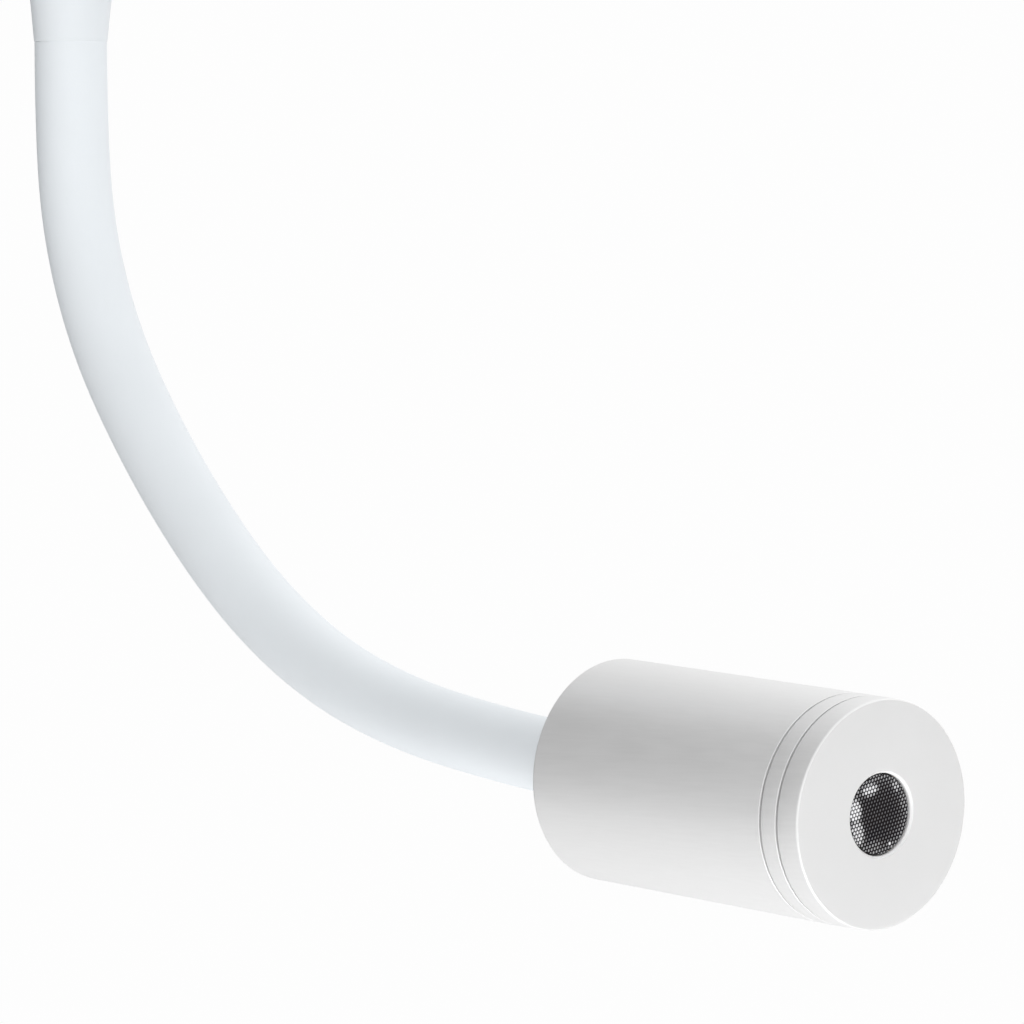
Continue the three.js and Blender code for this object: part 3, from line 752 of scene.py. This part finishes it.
def housing():
    """A moulded shell with a soft front edge and a shadow line where it meets the wall."""
    inside = shell_sections(HOUSING_WALL, HOUSING_EDGE - HOUSING_WALL, HOUSING_WALL - HOUSING_DEPTH, -0.3)
    outside = shell_sections(0, HOUSING_EDGE, -HOUSING_DEPTH, -2.4)
    shadow_line = []
    for inset, y in ((0.8, -0.3), (0.8, -1.9), (0.4, -2.0)):
        width, height = HOUSING_WIDTH - 2 * inset, HOUSING_HEIGHT - 2 * inset
        shadow_line.append((width, height, HOUSING_CORNER - inset, y))
    rings = slab_rings(inside[::-1] + shadow_line + outside)
    shell = skin("wall_housing_shell", rings, LAMP_PLACE, "housing", False)
    window_width, window_height = BEZEL[0] - 2.4, BEZEL[1] - 2.4
    front = -HOUSING_DEPTH
    window = box_cutter(window_width, window_height, 0.8, front - 5, front + 6, SWITCH_Z)
    stem_hole = rod_cutter(STEM_HOLE, swivel_place(), -6, 4)
    screw_holes = rod_cutter(SCREW_HOLE, along_x(COVER_SCREW_Y), -HOUSING_WIDTH, HOUSING_WIDTH)
    carve(shell, window, stem_hole, screw_holes)
    settle(shell, "base_housing")


def cover_screw(side, node):
    """A domed machine screw with a cross recess."""
    place = Matrix.Rotation(0 if side > 0 else math.pi, 4, "Z") @ along_x(0)
    place = Matrix.Translation(Vector((0, COVER_SCREW_Y, 0)) * MM) @ place
    outer = HOUSING_WIDTH / 2
    profile = [
        (0.02, outer + 1.75), (1.4, outer + 1.66, 1), (2.45, outer + 1.2, 0.6), (2.8, outer + 0.35, 0.1),
        (SCREW_RADIUS, outer + 0.3, 0.1),
    ]
    for turn in range(9):
        z = outer - 0.2 - turn * THREAD_PITCH
        profile += [(SCREW_RADIUS, z), (SCREW_RADIUS - THREAD_DEPTH, z - THREAD_PITCH / 2)]
    profile += [(SCREW_RADIUS, outer - 6.6), (1.0, outer - 7), (0.02, outer - 7)]
    screw = lathe(f"{node}_pan_head", profile[::-1], place, "steel", 40, False)
    cutters = []
    for angle in (0, math.pi / 2):
        rings = [rectangle(1.55, 0.27, z) for z in (outer + 0.9, outer + 3)]
        cutters.append(skin("cutter", rings, place @ Matrix.Rotation(angle + 0.4, 4, "Z"), "steel", False))
    carve(screw, *cutters)
    settle(screw, node)


def grommet():
    place = Matrix.Translation(Vector((0, 0, CABLE_ENTRY_Z)) * MM) @ Matrix.Rotation(math.pi / 2, 4, "X")
    profile = [
        (CABLE_BORE, 0.3, 0.4), (CABLE_HOLE - 0.3, 0.3, 0.3), (CABLE_HOLE - 0.3, 2.7, 0.1),
        (CABLE_HOLE + 2, 2.7, 0.3), (CABLE_HOLE + 1.6, 4.5, 0.5), (CABLE_BORE + 0.7, 4.5, 0.4),
        (CABLE_BORE, 3.9, 0.4),
    ]
    settle(lathe("cable_grommet", profile, place, "rubber", 64), "inlet_grommet")


housing()
cover_screw(-1, "cover_screw_left")
cover_screw(1, "cover_screw_right")
grommet()
refined("wall_plate", "steel_wall_plate", "zinc", 0.3)
refined("transformer", "wound_transformer", "tape", 0.3)
refined("terminal_block", "screw_terminals", "board", 0.3)

# ---------------------------------------------------------------- rocker switch


def switch_frame():
    width, height = BEZEL
    face = -HOUSING_DEPTH - 0.3
    front = face - 1.5
    body = (13, 22, 0.8)
    sections = [
        (*body, face + 13.5), (*body, face + 13.2), (*body, face), (width, height, 1.5, face),
        (width, height, 1.5, front + 0.6), (width - 0.2, height - 0.2, 1.4, front + 0.25),
        (width - 0.6, height - 0.6, 1.2, front + 0.05), (width - 1.2, height - 1.2, 0.9, front),
        (WINDOW[0] + 1, WINDOW[1] + 1, 0.8, front), (WINDOW[0] + 0.3, WINDOW[1] + 0.3, 0.6, front + 0.15),
        (*WINDOW, 0.5, front + 0.5), (*WINDOW, 0.5, SWITCH_WELL_Y),
    ]
    bezel = skin("switch_frame", slab_rings(sections, SWITCH_Z, 6), LAMP_PLACE, "black", False)
    settle(bezel, "switch_body")


def rocker_place():
    """Local X across, local Y along the rocker, local Z out of its face."""
    stand = Matrix.Rotation(math.pi / 2, 4, "X")
    return Matrix.Translation(ROCKER_PIVOT) @ Matrix.Rotation(ROCKER_TILT, 4, "X") @ stand


def rocker_height(along):
    """Two gently hollow faces that meet in a soft valley."""
    slope = math.tan(ROCKER_TILT)
    valley = 0.4
    rise = slope * (math.sqrt(along * along + valley * valley) - valley)
    hollow = 0.22 * math.sin(math.pi * min(1, abs(along) / ROCKER_HALF)) ** 2
    return ROCKER_FACE + rise - hollow


def rocker_cap():
    steps = 24
    profile = [(ROCKER_HALF - 1, -1.6, 0.4)]
    for step in range(steps + 1):
        along = ROCKER_HALF * (1 - 2 * step / steps)
        fillet = 0.5 if step in (0, steps) else 0
        profile.append((along, rocker_height(along), fillet))
    profile.append((1 - ROCKER_HALF, -1.6, 0.4))
    points = rounded(profile, True)
    middle = Vector((0, 1.5))
    half = ROCKER_WIDTH / 2
    rings = []
    for x, shrink in ((-half, 0.4), (-half + 0.12, 0.12), (-half + 0.4, 0), (half - 0.4, 0),
                      (half - 0.12, 0.12), (half, 0.4)):
        inner = [p - (p - middle).normalized() * shrink for p in points]
        rings.append([(x, p.x, p.y) for p in inner])
    settle(skin("rocker_cap", rings, rocker_place(), "black", False), "rocker")


def rocker_mark(name, along, ring):
    """A raised bar for on or a raised ring for off."""
    tilt = math.copysign(ROCKER_TILT, along)
    place = rocker_place() @ Matrix.Translation(Vector((0, along, rocker_height(along) - 0.03)) * MM)
    place = place @ Matrix.Rotation(tilt, 4, "X")
    if ring:
        piece = lathe(name, [(1.0, 0), (1.5, 0), (1.5, 0.12, 0.05), (1.0, 0.12, 0.05)], place, "mark", 48)
    else:
        rings = [rectangle(0.26, 1.5, z) for z in (0, 0.12)]
        piece = skin(name, rings, place, "mark", False)
    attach(piece, "rocker")


def rocker_pin():
    place = Matrix.Translation(ROCKER_PIVOT) @ Matrix.Rotation(math.pi / 2, 4, "Y")
    piece = lathe("rocker_pin", [(1.0, -5.6), (1.2, -5.4), (1.2, 5.4), (1.0, 5.6)], place, "steel", 32, False)
    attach(piece, "rocker")


switch_frame()
rocker_cap()
rocker_mark("mark_on", 4.6, False)
rocker_mark("mark_off", -4.6, True)
rocker_pin()

# ---------------------------------------------------------------- carried-over CAD nodes

NODE_MATERIALS = {
    "steel": ["ring_magnet", "board_screw_1", "board_screw_2"],
    "black": ["capacitor"],
    "rubber": ["lens_gasket", "thermal_pad"],
    "board": ["driver_board", "sensor_board"],
    "phosphor": ["led_package"],
    "lead": ["base_lead", "head_lead"],
}


def dress_nodes():
    for material, names in NODE_MATERIALS.items():
        for name in names:
            mesh = frame["nodes"][name].data
            mesh.materials.clear()
            mesh.materials.append(MATERIALS[material])


dress_nodes()

# ---------------------------------------------------------------- stage, light and camera

VIEW_AZIMUTH = math.radians(-42.8)
CAMERA_DISTANCE = 3.0612
CAMERA_RIGHT_OF_HEAD = -0.02224
CAMERA_ABOVE_HEAD = 0.05608
CAMERA_LENS = 493.6
FLOOR_DROP = 1.2
FLOOR_HALF = 3.0
RIGHT = Vector((math.cos(VIEW_AZIMUTH), math.sin(VIEW_AZIMUTH), 0))
TOWARDS = Vector((math.sin(VIEW_AZIMUTH), -math.cos(VIEW_AZIMUTH), 0))
UP = Vector((0, 0, 1))
EVEN_GLOW = 0.88                  # the studio's even light, before these slopes and curves are added
GLOW_SLOPES = [(RIGHT, 0.06), (UP, 0.29), (TOWARDS, 0.22)]
GLOW_CURVES = [(RIGHT, RIGHT, -0.48), (RIGHT, TOWARDS, -0.77), (RIGHT, UP, 1.1), (UP, TOWARDS, -0.41)]
DIMMEST = 0.08
BACKDROP = 0.985                  # the white that the camera sees


def camera():
    data = bpy.data.cameras.new("camera")
    data.lens = CAMERA_LENS
    data.sensor_width = 36
    data.clip_end = 50
    eye = bpy.data.objects.new("camera", data)
    bpy.context.scene.collection.objects.link(eye)
    aside = RIGHT * CAMERA_RIGHT_OF_HEAD + UP * CAMERA_ABOVE_HEAD
    eye.location = HEAD_REAR + aside + TOWARDS * CAMERA_DISTANCE
    eye.rotation_mode = "QUATERNION"
    eye.rotation_quaternion = (-TOWARDS).to_track_quat("-Z", "Y")
    bpy.context.scene.camera = eye


def floor():
    corners = rectangle(FLOOR_HALF, FLOOR_HALF, -FLOOR_DROP)
    MATERIALS["floor"] = moulded("pale_floor", (0.86, 0.86, 0.86), 0.7, 0.2, 0.01)
    add_mesh("floor", corners, [[0, 1, 2, 3]], "floor")


def world():
    """White to the camera; a soft gradient to the lamp, darkest at the camera's left."""
    scene_world = bpy.data.worlds.new("studio")
    bpy.context.scene.world = scene_world
    scene_world.use_nodes = True
    tree = scene_world.node_tree
    background = tree.nodes["Background"]
    place = tree.nodes.new("ShaderNodeTexCoord")

    def dot(direction):
        node = tree.nodes.new("ShaderNodeVectorMath")
        node.operation = "DOT_PRODUCT"
        tree.links.new(place.outputs["Generated"], node.inputs[0])
        node.inputs[1].default_value = direction
        return node.outputs["Value"]

    def math_node(operation, *values):
        node = tree.nodes.new("ShaderNodeMath")
        node.operation = operation
        for socket, value in zip(node.inputs, values):
            if isinstance(value, (int, float)):
                socket.default_value = value
            else:
                tree.links.new(value, socket)
        return node.outputs["Value"]

    level = EVEN_GLOW
    for direction, weight in GLOW_SLOPES:
        level = math_node("MULTIPLY_ADD", dot(direction), weight, level)
    for first, second, weight in GLOW_CURVES:
        product = math_node("MULTIPLY", dot(first), dot(second))
        level = math_node("MULTIPLY_ADD", product, weight, level)
    level = math_node("MAXIMUM", level, DIMMEST)
    rays = tree.nodes.new("ShaderNodeLightPath")
    seen = tree.nodes.new("ShaderNodeMix")
    tree.links.new(rays.outputs["Is Camera Ray"], seen.inputs["Factor"])
    tree.links.new(level, seen.inputs["A"])
    seen.inputs["B"].default_value = BACKDROP
    tree.links.new(seen.outputs["Result"], background.inputs["Strength"])
    background.inputs["Color"].default_value = (1, 1, 1, 1)


def softbox(name, direction, distance, size, power):
    data = bpy.data.lights.new(name, "AREA")
    data.shape = "SQUARE"
    data.size = size
    data.energy = power
    lamp = bpy.data.objects.new(name, data)
    bpy.context.scene.collection.objects.link(lamp)
    middle = (cad_box[0] + cad_box[1]) / 2
    lamp.location = middle + direction.normalized() * distance
    lamp.rotation_mode = "QUATERNION"
    lamp.rotation_quaternion = (-direction).to_track_quat("-Z", "Y")
    lamp.visible_camera = False


camera()
floor()
world()
softbox("under_softbox", -UP + 0.2 * RIGHT + 0.3 * TOWARDS, 1.2, 1.0, 18)
softbox("front_softbox", TOWARDS + 0.05 * UP, 2.2, 0.5, 1.2)
bpy.context.scene.view_settings.view_transform = "Standard"
